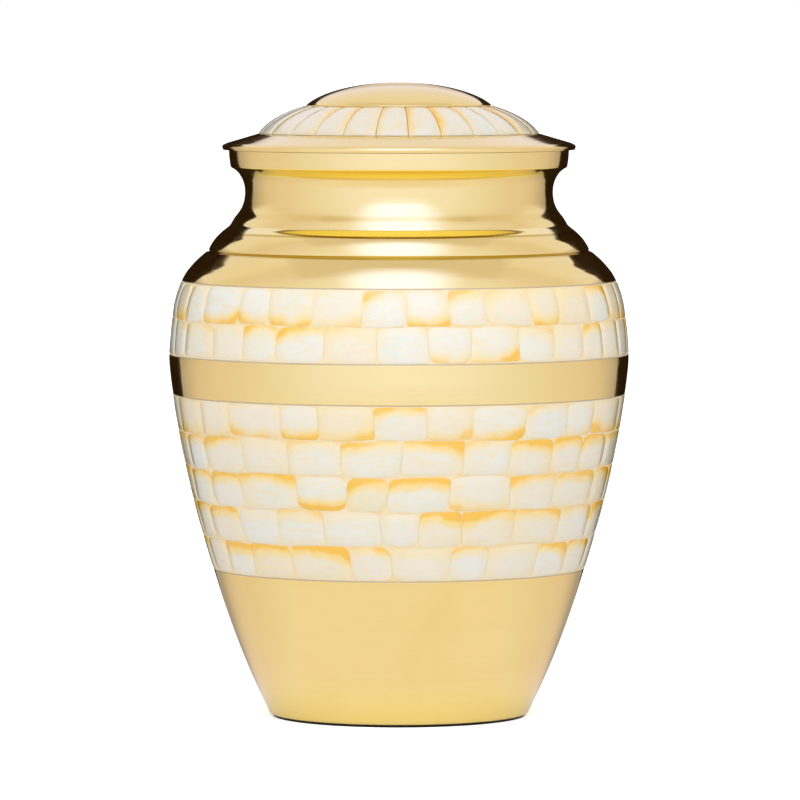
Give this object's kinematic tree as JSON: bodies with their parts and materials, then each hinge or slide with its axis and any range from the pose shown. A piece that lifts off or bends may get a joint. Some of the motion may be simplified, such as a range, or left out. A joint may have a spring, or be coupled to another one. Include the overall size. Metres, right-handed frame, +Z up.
{
  "type": "cremation urn",
  "caption": "Turned brass cremation urn with a lift-off domed lid, waisted neck and bands of inlaid mother-of-pearl tiles around the body and lid.",
  "frame": {"origin": "centre of the underside of the felt pad, on the surface the urn stands on", "axes": "+Z up along the turning axis, +X to the right and -Y towards the viewer"},
  "size_m": [0.1786, 0.1786, 0.2459],
  "materials": {
    "brass": "polished, turned",
    "shell": "polished mother-of-pearl",
    "felt": "dark felt"
  },
  "bodies": {
    "root": {"urn_body": "brass", "lid": "brass", "lid_strip_01": "shell", "lid_strip_02": "shell", "lid_strip_03": "shell", "lid_strip_04": "shell", "lid_strip_05": "shell", "lid_strip_06": "shell", "lid_strip_07": "shell", "lid_strip_08": "shell", "lid_strip_09": "shell", "lid_strip_10": "shell", "lid_strip_11": "shell", "lid_strip_12": "shell", "lid_strip_13": "shell", "lid_strip_14": "shell", "lid_strip_15": "shell", "lid_strip_16": "shell", "lid_strip_17": "shell", "lid_strip_18": "shell", "lid_strip_19": "shell", "lid_strip_20": "shell", "lid_strip_21": "shell", "lid_strip_22": "shell", "lid_strip_23": "shell", "lid_strip_24": "shell", "lid_strip_25": "shell", "lid_strip_26": "shell", "upper_pearl_row_1": "shell", "upper_pearl_row_2": "shell", "lower_pearl_row_1": "shell", "lower_pearl_row_2": "shell", "lower_pearl_row_3": "shell", "lower_pearl_row_4": "shell", "lower_pearl_row_5": "shell", "base_pad": "felt"}
  },
  "joints": []
}
